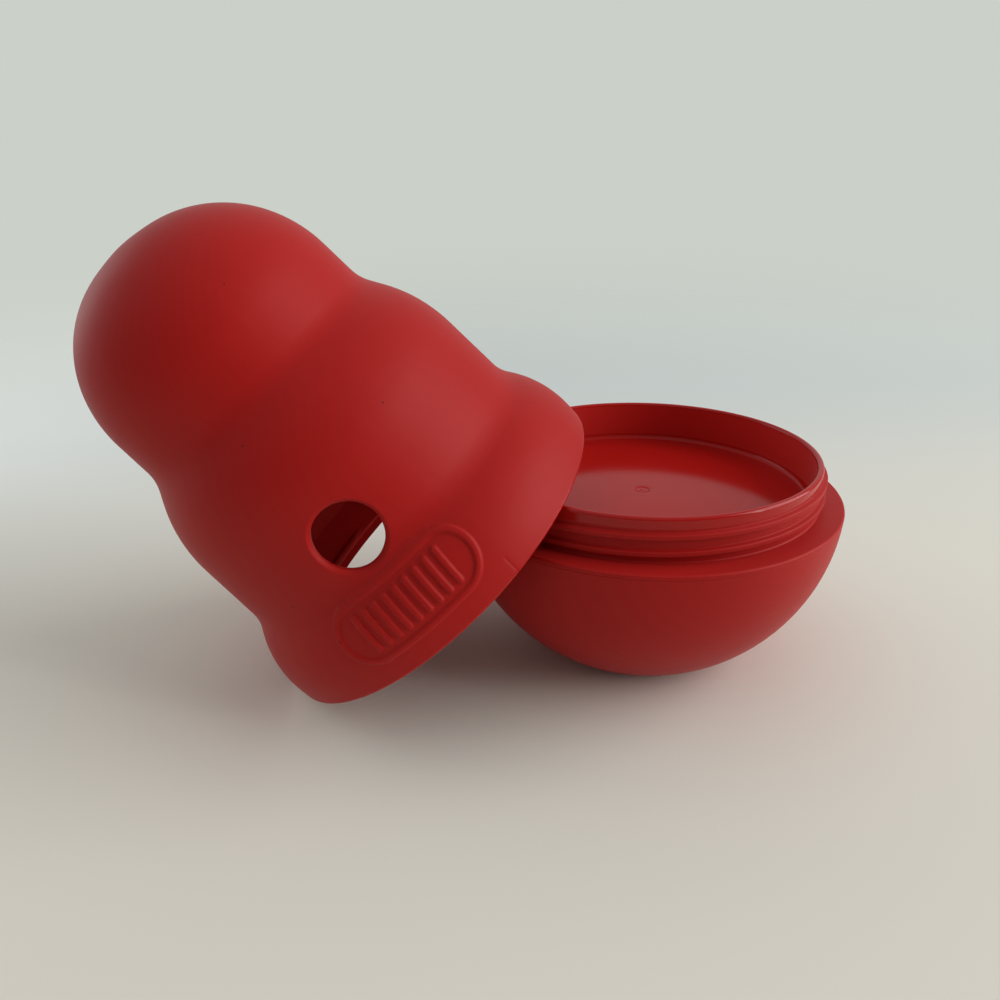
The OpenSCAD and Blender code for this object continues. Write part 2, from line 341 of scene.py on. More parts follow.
@dataclass(frozen=True)
class CastIron(Finish):
    """Raw grey cast iron from a sand mould: dull, dark, pitted like its sand and browned in patches."""

    name: str = "cast_iron_sand_cast"
    grey: str = "#5a5856"
    brown: str = "#54443a"
    roughness: float = 0.62
    sand_mm: float = 0.9
    sand_depth_mm: float = 0.12
    rust_mm: float = 14.0
    rust_edge: tuple[float, float] = (0.5, 0.68)

    def surface(self, tree: Tree, where: Socket) -> Inputs:
        """Draws patches of rust and the print of the sand."""
        rust = add_node(tree, "TexNoise", {"Vector": where, "Scale": per_metre(self.rust_mm), "Detail": 5.0})
        clean, rusty = self.rust_edge
        patches = add_node(tree, "MapRange", {"Value": rust, "From Min": clean, "From Max": rusty})
        grey, brown = linear(self.grey), linear(self.brown)
        colour = add_node(tree, "Mix", {"Factor": patches, "A": grey, "B": brown}, data_type="RGBA")
        sand = add_node(tree, "TexNoise", {"Vector": where, "Scale": per_metre(self.sand_mm), "Detail": 3.0})
        bump = add_node(tree, "Bump", {"Height": sand, "Distance": self.sand_depth_mm * MM})
        return {"Base Color": colour, "Metallic": 1.0, "Roughness": self.roughness, "Normal": bump}


@dataclass(frozen=True)
class ClosedCellFoam(Finish):
    """Die-cut polyethylene foam: soft black-grey with fine round cells and no shine."""

    name: str = "polyethylene_foam_die_cut"
    face: str = "#333538"
    cell: str = "#242629"
    roughness: float = 0.9
    cell_mm: float = 0.8
    cell_depth_mm: float = 0.15

    def surface(self, tree: Tree, where: Socket) -> Inputs:
        """Draws the cut cells."""
        cells = add_node(tree, "TexVoronoi", {"Vector": where, "Scale": per_metre(self.cell_mm)})
        cell, face = linear(self.cell), linear(self.face)
        colour = add_node(tree, "Mix", {"Factor": cells, "A": cell, "B": face}, data_type="RGBA")
        bump = add_node(tree, "Bump", {"Height": cells, "Distance": self.cell_depth_mm * MM})
        return {"Base Color": colour, "Roughness": self.roughness, "Normal": bump}


@dataclass(frozen=True)
class Sizes:
    """The driving dimensions that the pieces share, and what follows from them."""

    body_r: float = 60.0
    lean_deg: float = 40.0
    rest_gap: float = 0.1
    shell_wall: float = 2.4
    rim_round: float = 0.8
    foot_r: float = 27.5
    foot_t: float = 3.0
    bowl_wall: float = 2.8
    shoulder_drop: float = 0.9
    seam_drop: float = 1.3
    ledge_w: float = 7.2
    collar_h: float = 12.7
    collar_wall: float = 1.9
    cup_depth: float = 13.7
    cup_t: float = 2.2
    spigot_h: float = 5.0
    spigot_gap: float = 0.2
    thread_h: float = 1.3
    thread_gap: float = 0.35
    thread_depth: float = 4.6
    weight_h: float = 14.0
    weight_gap: float = 0.5
    peg_r: float = 5.0
    peg_gap: float = 0.4
    pad_t: float = 3.0

    @property
    def bowl_mid_z(self) -> float:
        """Height of the middle of the bowl's ball."""
        return math.sqrt(self.body_r**2 - self.foot_r**2)

    @property
    def shoulder_z(self) -> float:
        """Height of the ledge round the collar."""
        return self.bowl_mid_z - self.shoulder_drop

    @property
    def seam_z(self) -> float:
        """Height of the seam between bowl and cup."""
        return self.shoulder_z - self.seam_drop

    @property
    def collar_r(self) -> float:
        """Outer radius of the collar, at the thread's root."""
        return self.body_r - self.ledge_w

    @property
    def collar_z(self) -> float:
        """Height of the collar's lip."""
        return self.shoulder_z + self.collar_h

    @property
    def floor_z(self) -> float:
        """Height of the cup's floor."""
        return self.collar_z - self.cup_depth

    @property
    def spigot_r(self) -> float:
        """Outer radius of the spigot that centres the cup in the bowl."""
        inner_r = self.body_r - self.bowl_wall
        return math.sqrt(inner_r**2 - (self.bowl_mid_z - self.seam_z + self.spigot_h) ** 2) - self.spigot_gap

    @property
    def land_r(self) -> float:
        """Inner radius of the land in the shell's mouth, at the thread's root."""
        return self.collar_r + self.thread_h + self.thread_gap

    @property
    def weight_z(self) -> float:
        """Height of the weight's top."""
        return self.foot_t + self.weight_h

    @property
    def rim_middle(self) -> Triple:
        """Middle of the leaning shell's rim, which stands on the floor and rests on the collar's lip."""
        lean = math.radians(self.lean_deg)
        rim_z = (self.body_r - self.rim_round) * math.sin(lean) + self.rim_round * (1 - math.cos(lean))
        over = self.collar_z - rim_z
        touch_r = self.body_r - self.shell_wall - self.rest_gap
        slant = over / math.sin(lean)
        reach = over / math.tan(lean) + math.sqrt(self.collar_r**2 - touch_r**2 + slant**2)
        return -reach, 0.0, rim_z


@dataclass(frozen=True)
class ScrewThread:
    """A right-hand thread moulded on a wall, with a break where the mould parts."""

    root_r: float
    side: int
    start_z: float
    turns: float
    pitch: float = 4.7
    height: float = 1.3
    root_w: float = 2.3
    crest_w: float = 1.1
    start_bearing: float = 205.0
    break_deg: float = 16.0
    taper_deg: float = 4.0

    def relief(self, radius: Array, height: Array, bearing: Array) -> Array:
        """How far the thread moves a wall's points out or in.

        Args:
            radius: the points' radii; only those on the thread's root move.
            height: the points' heights.
            bearing: the points' bearings from +X, in radians.

        Returns:
            What is added to each radius.
        """
        lift = np.zeros(len(radius))
        turned = (np.degrees(bearing) - self.start_bearing) % 360
        from_break = np.minimum(turned % 180, 180 - turned % 180)
        whole = smooth((from_break - self.break_deg / 2) / self.taper_deg)
        for lap in range(math.ceil(self.turns)):
            along = turned + 360 * lap
            centre = self.start_z + along / 360 * self.pitch
            off = np.abs(height - centre)
            ridge = smooth((self.root_w / 2 - off) / ((self.root_w - self.crest_w) / 2))
            lift = np.maximum(lift, np.where(along <= 360 * self.turns, ridge, 0))
        on_root = np.abs(radius - self.root_r) < TINY
        return np.where(on_root, self.side * self.height * lift * whole, 0)


@dataclass(frozen=True)
class GripPatch:
    """A raised band with half-round ends, a border and upright ribs, moulded on the lowest lobe."""

    width: float = 44.0
    height: float = 17.0
    middle_h: float = 15.0
    lift: float = 0.6
    border: float = 1.6
    ribs: int = 9
    rib_w: float = 1.6
    edge: float = 0.4

    def rise(self, across: Array, height: Array) -> Array:
        """How far the patch stands out of the shell.

        Args:
            across: distance to the side of the patch's middle line.
            height: height above the rim.

        Returns:
            The rise at each point.
        """
        up = height - self.middle_h
        run = (self.width - self.height) / 2
        depth = self.height / 2 - np.hypot(np.maximum(np.abs(across) - run, 0), up)
        rise = smooth(depth / self.edge + 0.5) * smooth((self.border - depth) / self.edge + 0.5)
        rib_half = self.height / 2 - 2 * self.border - self.rib_w / 2
        for k in range(self.ribs):
            middle = (k - (self.ribs - 1) / 2) * 2 * run / (self.ribs - 1)
            inside = self.rib_w / 2 - np.hypot(across - middle, np.maximum(np.abs(up) - rib_half, 0))
            rise = np.maximum(rise, smooth(inside / self.edge + 0.5))
        return self.lift * rise


@dataclass(frozen=True)
class LobedPath:
    """The shell's outer path from the rim to the crown, with three lobes and two creases."""

    corners: tuple[tuple[float, float], ...] = (
        (60.0, 0.0), (60.0, 13.2), (51.7, 25.5), (49.5, 58.0),
        (40.0, 73.2), (37.8, 113.4), (3.85, 120.0), (0.0, 120.0),
    )
    blends: tuple[float, ...] = (0.72, 0.25, 0.60, 0.17, 0.79)
    bulges: tuple[int, ...] = (1, -1, 1, -1, 1)

    def points(self, grow: float, step: float = 0.5) -> Array:
        """The rounded path, moved out by grow along its normals.

        Args:
            grow: how far out; in where it is negative.
            step: degrees between points on a rounding.

        Returns:
            Radius and height of each point, from the rim's level to the crown's middle.
        """
        path = np.array(self.corners)
        ways = np.diff(path, axis=0)
        lengths = np.linalg.norm(ways, axis=1)
        normals = np.stack([ways[:, 1], -ways[:, 0]], 1) / lengths[:, None]
        moved = [path[0] + (grow, 0)]
        for i in range(1, len(path) - 1):
            n, m = normals[i - 1], normals[i]
            moved.append(path[i] + grow * (n + m) / (1 + n @ m))
        moved.append(path[-1] + (0, grow))
        rounds = [0.0]
        for i, (blend, bulge) in enumerate(zip(self.blends, self.bulges), start=1):
            half = (math.pi - math.acos(normals[i - 1] @ normals[i])) / 2
            rounds.append(blend * min(lengths[i - 1], lengths[i]) * math.tan(half) + bulge * grow)
        half = (math.pi - math.acos(normals[-2] @ normals[-1])) / 2
        rounds += [moved[-2][0] * math.tan(half), 0.0]
        # The last rounding ends in the crown's middle, so the last corner would stand there twice.
        return rounded_path([(*p, fillet) for p, fillet in zip(moved, rounds)], step)[:-1]

    def radius(self, height: Array | float, grow: float = 0.0) -> Array:
        """Radius of the path, moved out by grow, at heights below the crown."""
        path = self.points(grow)
        rising = np.concatenate([[True], np.diff(np.maximum.accumulate(path[:, 1])) > TINY])
        return np.interp(height, path[rising, 1], path[rising, 0])


@dataclass
class UpperShell:
    """The three-lobed hollow moulding with the treat hole, which leans on the base's collar."""

    sizes: Sizes
    path: LobedPath = field(default_factory=LobedPath)
    patch: GripPatch = field(default_factory=GripPatch)
    thread: ScrewThread = field(init=False)
    turn_deg: float = 0.8
    height: float = 120.0
    rim_flat: float = 1.0
    mouth_round: float = 0.3
    mouth_plain: float = 3.4
    mouth_root_round: float = 0.4
    land_chamfer: float = 1.0
    land_round: float = 0.25
    land_blend: float = 1.0
    land_rows: int = 64
    hole_r: float = 9.0
    hole_h: float = 35.2
    hole_bevel: float = 0.9
    hole_edge: float = 0.25
    hole_steps: tuple[float, ...] = (0.3, 0.6, 0.85, 1.0)
    block_half: float = 12.0
    block_rows: int = 33
    block_clear: tuple[float, float] = (0.3, 0.5)
    smooth_step: float = 3.0
    inner_step: float = 2.0
    mouth_row_mm: float = 1.0
    inner_row_mm: float = 1.2
    crown_rows_mm: tuple[float, float] = (2.0, 3.0)
    fine_deg: float = 26.0
    fine_columns: int = 169
    back_columns: int = 101
    edge_h: float = 5.0
    edge_rows: int = 8
    patch_rows: int = 60
    witness_deg: float = 24.1
    witness_half_deg: float = 0.45
    witness_h: float = 6.2
    witness_fade: float = 0.8
    witness_depth: float = 0.14

    def __post_init__(self) -> None:
        """Works out the thread in the mouth."""
        start_h = self.mouth_plain + self.land_chamfer + ScrewThread.root_w / 2
        self.thread = ScrewThread(self.sizes.land_r, -1, start_h, 1.0)

    def place(self) -> Matrix:
        """Where the shell's own frame stands: its rim's middle, leaning and turned."""
        lean = Matrix.Rotation(math.radians(-self.sizes.lean_deg), 4, "Y")
        turn = Matrix.Rotation(math.radians(self.turn_deg), 4, "Z")
        return Matrix.Translation(Vector(self.sizes.rim_middle) * MM) @ lean @ turn

    def columns(self) -> Array:
        """Bearings of the columns from the front, in radians: fine round the hole, coarser behind."""
        fine = np.linspace(-self.fine_deg, self.fine_deg, self.fine_columns)
        behind = np.linspace(self.fine_deg, 360 - self.fine_deg, self.back_columns)[1:-1]
        return np.radians(np.concatenate([fine, behind]))

    def block_heights(self) -> Array:
        """Heights of the rows in the block round the treat hole."""
        return np.linspace(self.hole_h - self.block_half, self.hole_h + self.block_half, self.block_rows)

    def rows_above(self, grow: float, longest: float) -> Array:
        """Radius and height of a skin's rows over the treat hole's block, at most longest apart."""
        path = self.path.points(grow, self.smooth_step)
        return resampled(path[path[:, 1] > self.block_heights()[-1] + self.block_clear[1]], longest)

    def at(self, radius: Array | float, bearing: Array, height: Array | float) -> Array:
        """Points in the shell's own frame at a radius, a bearing from the front and a height."""
        return np.stack(np.broadcast_arrays(radius * np.sin(bearing), -radius * np.cos(bearing), height), -1)

    def offsets(self, loop: Array) -> tuple[Array, Array]:
        """How far beside and over the treat hole's axis an outline's points lie, and the ways to them."""
        off = loop[:, [0, 2]] - (0, self.hole_h)
        return off, off / np.linalg.norm(off, axis=1)[:, None]

    def front(self, off: Array, grow: float, depth: float = 0.0) -> Array:
        """Points at offsets from the treat hole's axis, a depth behind the skin moved out by grow."""
        across, height = off[:, 0], off[:, 1] + self.hole_h
        radius = self.path.radius(height, grow)
        return np.stack([across, depth - np.sqrt(radius**2 - across**2), height], -1)

    def outer_rows(self) -> Array:
        """Radius and height of the outer rows from the rim's rounding up, fine over patch and hole."""
        block = self.block_heights()
        edge = np.linspace(self.sizes.rim_round, self.edge_h, self.edge_rows)
        patch = np.linspace(self.edge_h, block[0], self.patch_rows)
        heights = np.concatenate([edge[:-1], patch[:-1], block])
        rows = np.stack([self.path.radius(heights), heights], 1)
        return np.concatenate([rows, self.rows_above(0, self.crown_rows_mm[0])])

    def inner_rows(self) -> Array:
        """Radius and height of the inner rows from the mouth up, with the thread's land."""
        land_r, wall_t, plain_h = self.sizes.land_r, self.sizes.shell_wall, self.mouth_plain
        land_low = plain_h + self.land_chamfer
        mouth_r = self.sizes.body_r - wall_t
        heights = self.block_heights()
        wall = self.path.points(-wall_t, self.inner_step)
        land_top = float(np.interp(-land_r, -wall[:, 0], wall[:, 1]))
        over_land = wall[:, 1] > land_top + self.land_blend
        under_block = wall[:, 1] < heights[0] - self.block_clear[0]
        mouth = rounded_path([
            (mouth_r + wall_t / 2, 0, 0), (mouth_r, 0, self.mouth_round),
            (mouth_r, plain_h, self.mouth_root_round),
            (land_r + self.land_chamfer, plain_h, self.land_round), (land_r, land_low, 0),
        ])[1:]
        land = np.linspace((land_r, land_low), (land_r, land_top), self.land_rows)[1:]
        wall = np.concatenate([land[-1:], wall[over_land & under_block]])
        wall = resampled(wall, self.inner_row_mm)[1:]
        block = np.stack([self.path.radius(heights, -wall_t), heights], 1)
        above = self.rows_above(-wall_t, self.crown_rows_mm[1])
        return np.concatenate([resampled(mouth, self.mouth_row_mm), land, wall, block, above])

    def skin(self, bearing: Array, rows: Array) -> Array:
        """The outer skin's points, with the grip patch and the mould's witness line worked in.

        Args:
            bearing: the columns' bearings from the front.
            rows: radius and height of each row.

        Returns:
            The points, row by row.
        """
        slope = np.gradient(rows[:, 0], rows[:, 1])
        grow = self.patch.rise(rows[:, :1] * np.sin(bearing), rows[:, 1:])
        grow[:, np.cos(bearing) < 0] = 0
        line = smooth(1 - np.abs(np.degrees(bearing) - self.witness_deg) / self.witness_half_deg)
        grow -= self.witness_depth * line * smooth((self.witness_h - rows[:, 1:]) / self.witness_fade)
        lean = np.hypot(1, slope)[:, None]
        return self.at(rows[:, :1] + grow / lean, bearing, rows[:, 1:] - grow * slope[:, None] / lean)

    def hole_rings(self, loop: Array, edge_r: float, grow: float) -> list[Array]:
        """Rows of points on a skin, from the outline of the hole's block in to a round edge."""
        off, way = self.offsets(loop)
        return [self.front(off * (1 - share) + way * edge_r * share, grow) for share in self.hole_steps]

    def hole_wall(self, loop: Array) -> list[Array]:
        """Rows of points down the hole's bevelled edge, through the wall and round its inner edge."""
        way = self.offsets(loop)[1]
        e, b, wall = self.hole_edge, self.hole_bevel, self.sizes.shell_wall
        # Each step: how much wider than the hole, on which skin, and how far behind it.
        steps = [
            (b + 0.4 * e, 0, 0.12 * e), (b, 0, 0.4 * e), (b / 2, 0, b / 2 + 0.4 * e),
            (0.2 * e, 0, b + 0.2 * e), (0, 0, b + 0.7 * e), (0, -wall, -0.7 * e), (0.3 * e, -wall, -0.3 * e),
        ]
        return [self.front(way * (self.hole_r + wider), grow, depth) for wider, grow, depth in steps]

    def block_loop(self, numbers: Array, first: int, last: int) -> Array:
        """Numbers of the points round a skin's block: along its bottom, up, back along its top, down."""
        bottom, top = numbers[0, first:last], numbers[-1, last:first:-1]
        right, left = numbers[:-1, last], numbers[:0:-1, first]
        return np.concatenate([bottom, right, top, left])

    def build(self, materials: Sequence[Material]) -> bpy.types.Object:
        """Draws the shell as one closed mesh, from its crown down the outside and up the inside.

        Args:
            materials: one material for each kind of face.

        Returns:
            The shell's object.
        """
        draft = MeshDraft()
        bearing = self.columns()
        reach = math.asin(self.block_half / self.path.radius(self.hole_h))
        block = np.flatnonzero(np.abs(bearing) <= reach)
        first, last = int(block[0]), int(block[-1])
        outer, inner = self.outer_rows(), self.inner_rows()
        skin = self.skin(bearing, outer[:-1])
        body_r, wall, rim_round = self.sizes.body_r, self.sizes.shell_wall, self.sizes.rim_round
        rim_start, rim_end = (body_r - wall + self.rim_flat, 0, 0), (body_r, 2 * rim_round, 0)
        # The skin's first row takes over where the rounding ends.
        rim = rounded_path([rim_start, (body_r, 0, rim_round), rim_end])[:-2]
        out_rows = draft.add(skin)
        rim_rows = draft.add(self.at(rim[:, :1], bearing, rim[:, 1:]))
        flat = np.ones_like(bearing)
        lift = np.array([self.thread.relief(r * flat, z * flat, bearing) for r, z in inner[:-1]])
        in_rows = draft.add(self.at(inner[:-1, :1] + lift, bearing, inner[:-1, 1:]))
        out_tip = draft.add(np.array([[0, 0, self.height]]))
        in_tip = draft.add(np.array([[0, 0, self.height - wall]]))

        # The skins stay open where the hole's block is.
        loops = []
        for rows, numbers, side in ((outer, out_rows, Face.CAVITY), (inner, in_rows, Face.CORE)):
            held = np.flatnonzero(np.abs(rows[:-1, 1] - self.hole_h) <= self.block_half + TINY)
            for i in range(len(numbers) - 1):
                skip = slice(first, last) if held[0] <= i < held[-1] else slice(0)
                draft.join(numbers[i], numbers[i + 1], side, skip)
            loops.append(self.block_loop(numbers[held], first, last))
        for low, high in zip(rim_rows, [*rim_rows[1:], out_rows[0]]):
            draft.join(low, high, Face.RUBBED)
        draft.join(rim_rows[0], in_rows[0], Face.RUBBED)
        draft.join(out_tip, out_rows[-1])
        draft.join(in_tip, in_rows[-1], Face.CORE)

        points = np.concatenate(draft.points)
        out_loop, in_loop = loops
        inner_r = self.hole_r + self.hole_edge
        rings = self.hole_rings(points[out_loop], inner_r + self.hole_bevel, 0.0)
        rings += self.hole_wall(points[out_loop])
        rings += self.hole_rings(points[in_loop], inner_r, -wall)[::-1]
        before = out_loop
        for ring in rings:
            numbers = draft.add(ring)
            draft.join(before, numbers)
            before = numbers
        draft.join(before, in_loop, Face.CORE)
        return draft.finished("shell_moulding", self.place(), materials)


@dataclass
class TurnedPiece:
    """A piece made by turning its section, open or closed in itself, about the base's axis."""

    sizes: Sizes
    name: str
    columns: int
    closed: bool = False

    def section(self) -> Array:
        """Radius and height of each row; a row at radius 0 is a tip."""
        raise NotImplementedError

    def side_of(self, radius: float, height: float) -> Face:
        """What made the faces at a radius and a height."""
        return Face.CAVITY

    def thread(self) -> ScrewThread | None:
        """The thread on the piece, if it has one."""
        return None

    def build(self, materials: Sequence[Material]) -> bpy.types.Object:
        """Turns the section into a mesh.

        Args:
            materials: one material for each kind of face.

        Returns:
            The piece's object.
        """
        draft, path, thread = MeshDraft(), self.section(), self.thread()
        bearing = np.linspace(0, 2 * math.pi, self.columns, endpoint=False)
        rows: list[Array] = []
        for r, z in path:
            if r < TINY:
                rows.append(draft.add(np.array([[0, 0, z]])))
                continue
            radius, height = np.full(self.columns, r), np.full(self.columns, z)
            if thread:
                radius = radius + thread.relief(radius, height, bearing)
            rows.append(draft.add(np.stack([radius * np.cos(bearing), radius * np.sin(bearing), height], 1)))
        for i in range(len(rows) if self.closed else len(rows) - 1):
            k = (i + 1) % len(rows)
            draft.join(rows[i], rows[k], self.side_of(*((path[i] + path[k]) / 2)))
        return draft.finished(self.name, Matrix.Identity(4), materials)


@dataclass
class BaseBowl(TurnedPiece):
    """The round lower moulding with a flat foot, which holds the weight."""

    name: str = "bowl_moulding"
    columns: int = 240
    peg_h: float = 9.5
    peg_round: float = 0.8
    seam_round: float = 0.15
    foot_round: float = 0.7
    inner_round: float = 0.6
    arc_rows: int = 64

    def arc(self, radius: float, low: float, high: float) -> Array:
        """Points up a ball of this radius round the bowl's middle, between two heights."""
        middle = self.sizes.bowl_mid_z
        first, last = (math.asin((z - middle) / radius) for z in (low, high))
        angle = np.linspace(first, last, self.arc_rows)
        return np.stack([radius * np.cos(angle), middle + radius * np.sin(angle)], 1)

    def section(self) -> Array:
        """The bowl's section from the middle of its foot, up the outside and down the inside to its peg."""
        body_r, wall = self.sizes.body_r, self.sizes.bowl_wall
        foot_t, peg_r, peg_z = self.sizes.foot_t, self.sizes.peg_r, self.sizes.foot_t + self.peg_h
        outer = self.arc(body_r, 0.0, self.sizes.seam_z)
        inner = self.arc(body_r - wall, foot_t, self.sizes.seam_z)[::-1]
        corners = [(0.0, 0.0, 0.0), (*outer[0], self.foot_round)]
        corners += [(*p, 0.0) for p in outer[1:-1]] + [(*outer[-1], self.seam_round)]
        corners += [(*inner[0], self.seam_round)] + [(*p, 0.0) for p in inner[1:-1]]
        corners += [(*inner[-1], self.inner_round), (peg_r, foot_t, self.inner_round)]
        corners += [(peg_r, peg_z, self.peg_round), (0.0, peg_z, 0.0)]
        return resampled(rounded_path(corners), ROW_MM)

    def side_of(self, radius: float, height: float) -> Face:
        """The outside is the cavity's, and the inside the core's."""
        out_r = math.hypot(radius, height - self.sizes.bowl_mid_z)
        outside = out_r > self.sizes.body_r - self.sizes.bowl_wall / 2 or height < self.sizes.foot_t / 2
        return Face.CAVITY if outside else Face.CORE


@dataclass
class ThreadedCup(TurnedPiece):
    """The cup that closes the bowl: floor, threaded collar, ledge, spigot, and a tube on the weight."""

    name: str = "cup_moulding"
    columns: int = 288
    floor_round: float = 2.0
    edge_round: float = 0.65
    seam_round: float = 0.15
    root_round: float = 0.5
    step_round: float = 0.2
    spigot_round: float = 0.5
    under_round: float = 0.4
    tube_round: float = 0.8
    bore_round: float = 0.6
    lip_h: float = 1.2
    rubbed_h: float = 3.2
    gate_r: float = 2.2
    gate_slope: float = 0.35
    gate_depth: float = 0.25
    gate_round: float = 1.6
    stub_r: float = 0.4
    stub_h: float = 0.12
    stub_rounds: tuple[float, float] = (0.3, 0.5)
    tube_r: float = 12.0
    tube_wall: float = 2.0
    turns: float = 1.5
    wall_rows: int = 80
    wall_gap: float = 0.1
    arc_step: float = 7.0

    def thread(self) -> ScrewThread:
        """The thread on the collar; the middle of its last half lap lies at its depth under the lip."""
        half_laps = 2 * self.turns - 0.5
        start_z = self.sizes.collar_z - self.sizes.thread_depth - half_laps * ScrewThread.pitch / 2
        return ScrewThread(self.sizes.collar_r, 1, start_z, self.turns)

    def section(self) -> Array:
        """The cup's section from the middle of its floor, over the collar and back under the floor."""
        collar_r, collar_z, body_r = self.sizes.collar_r, self.sizes.collar_z, self.sizes.body_r
        floor_z, floor_t, seam_z = self.sizes.floor_z, self.sizes.cup_t, self.sizes.seam_z
        shoulder_z, spigot_r, tube_r = self.sizes.shoulder_z, self.sizes.spigot_r, self.tube_r
        inside_r = collar_r - self.sizes.collar_wall
        lip = self.sizes.collar_wall / 2 - LIP_FLAT
        under_z, ledge_z = floor_z - floor_t, shoulder_z - floor_t
        spigot_in, spigot_z = spigot_r - floor_t, seam_z - self.sizes.spigot_h
        bore_r, tube_z = tube_r - self.tube_wall, self.sizes.weight_z + self.sizes.pad_t
        wall_top, wall_low = collar_z - self.lip_h, shoulder_z + self.root_round + self.wall_gap
        dish_z, stub_z = floor_z - self.gate_depth, floor_z - self.gate_depth + self.stub_h
        stub_top, stub_root = self.stub_rounds
        top = rounded_path([
            (0, stub_z, 0), (self.stub_r, stub_z, stub_top), (2 * self.stub_r, dish_z, stub_root),
            (self.gate_r - self.gate_slope, dish_z, self.gate_round),
            (self.gate_r + self.gate_slope, floor_z, self.gate_round),
            (inside_r, floor_z, self.floor_round), (inside_r, collar_z, lip), (collar_r, collar_z, lip),
            (collar_r, wall_top, 0),
        ], self.arc_step)
        wall = np.linspace((collar_r, wall_top), (collar_r, wall_low), self.wall_rows)[1:]
        below = rounded_path([
            (collar_r, wall_low, 0), (collar_r, shoulder_z, self.root_round),
            (body_r, shoulder_z, self.edge_round), (body_r, seam_z, self.seam_round),
            (spigot_r, seam_z, self.step_round), (spigot_r, spigot_z, self.spigot_round),
            (spigot_in, spigot_z, self.spigot_round), (spigot_in, ledge_z, self.under_round),
            (collar_r, ledge_z, self.under_round), (collar_r, under_z, self.tube_round),
            (tube_r, under_z, self.tube_round), (tube_r, tube_z, self.under_round),
            (bore_r, tube_z, self.under_round), (bore_r, under_z, self.bore_round), (0, under_z, 0),
        ])
        return np.concatenate([resampled(top, ROW_MM), wall, resampled(below, ROW_MM)[1:]])

    def side_of(self, radius: float, height: float) -> Face:
        """The core made the floor and the inner wall, hands rub the lip, the rest is the cavity's."""
        floor_z, collar_r = self.sizes.floor_z, self.sizes.collar_r
        rubbed_h = self.rubbed_h if radius > collar_r - self.wall_gap else self.lip_h
        if height > self.sizes.collar_z - rubbed_h:
            return Face.RUBBED
        if radius > collar_r - self.sizes.collar_wall / 2 or height < floor_z - self.sizes.cup_t / 2:
            return Face.CAVITY
        # The inner wall over the floor's rounding takes the lighter red of painted light.
        return Face.CORE if height < floor_z + self.floor_round else Face.DRAWN_PAINTED_LIGHT


@dataclass
class BallastRing(TurnedPiece):
    """A ring that lies in the bowl round its peg."""

    closed: bool = True
    row_mm: float = 1.0
    bore_round: float = 0.5

    def side(self) -> list[Triple]:
        """Radius, height and rounding of the outer side's corners, from low to high."""
        raise NotImplementedError

    def section(self) -> Array:
        """The ring's section, from the middle of its bore and round to it."""
        side, bore_r = self.side(), self.sizes.peg_r + self.sizes.peg_gap
        low, high = side[0][1], side[-1][1]
        start = (bore_r, (low + high) / 2, 0.0)
        corners = [start, (bore_r, low, self.bore_round), *side, (bore_r, high, self.bore_round), start]
        return resampled(rounded_path(corners), self.row_mm)[:-1]


@dataclass
class BallastWeight(BallastRing):
    """The iron casting that makes the base heavy."""

    name: str = "ballast_casting"
    columns: int = 144
    row_mm: float = 2.0
    bore_round: float = 0.6
    edge_round: float = 1.2
    side_rows: int = 12

    def side(self) -> list[Triple]:
        """The casting's side follows the bowl's ball."""
        ball_r = self.sizes.body_r - self.sizes.bowl_wall - self.sizes.weight_gap
        heights = np.linspace(self.sizes.foot_t, self.sizes.weight_z, self.side_rows)
        rounds = [self.edge_round, *[0.0] * (self.side_rows - 2), self.edge_round]
        middle = self.sizes.bowl_mid_z
        return [(math.sqrt(ball_r**2 - (z - middle) ** 2), z, r) for z, r in zip(heights, rounds)]


@dataclass
class BallastPad(BallastRing):
    """The foam ring between the weight and the tube that holds it down."""

    name: str = "ballast_foam"
    columns: int = 96
    outer_r: float = 15.0
    fill: float = 0.8

    def side(self) -> list[Triple]:
        """The pad's side is upright, and as round at its edges as the bore."""
        low = self.sizes.weight_z
        return [(self.outer_r, z, self.bore_round) for z in (low, low + self.sizes.pad_t)]

    def build(self, materials: Sequence[Material]) -> bpy.types.Object:
        """Turns the section into a mesh."""
        pad = super().build(materials)
        return pad


@dataclass(frozen=True)
class Lamp:
    """A soft lamp: where it hangs, the point that it faces, its width and height, and its power."""

    name: str
    spot_m: Triple
    aim_m: Triple
    size_m: tuple[float, float]
    watts: float

    def hang(self) -> None:
        """Puts the lamp into the scene."""
        light = bpy.data.lights.new(self.name, "AREA")
        light.shape = "RECTANGLE"
        light.size, light.size_y = self.size_m
        light.energy = self.watts
        holder = put(self.name, light)
        holder.location = self.spot_m
        ahead = Vector(self.aim_m) - Vector(self.spot_m)
        holder.rotation_euler = ahead.to_track_quat("-Z", "Y").to_euler()


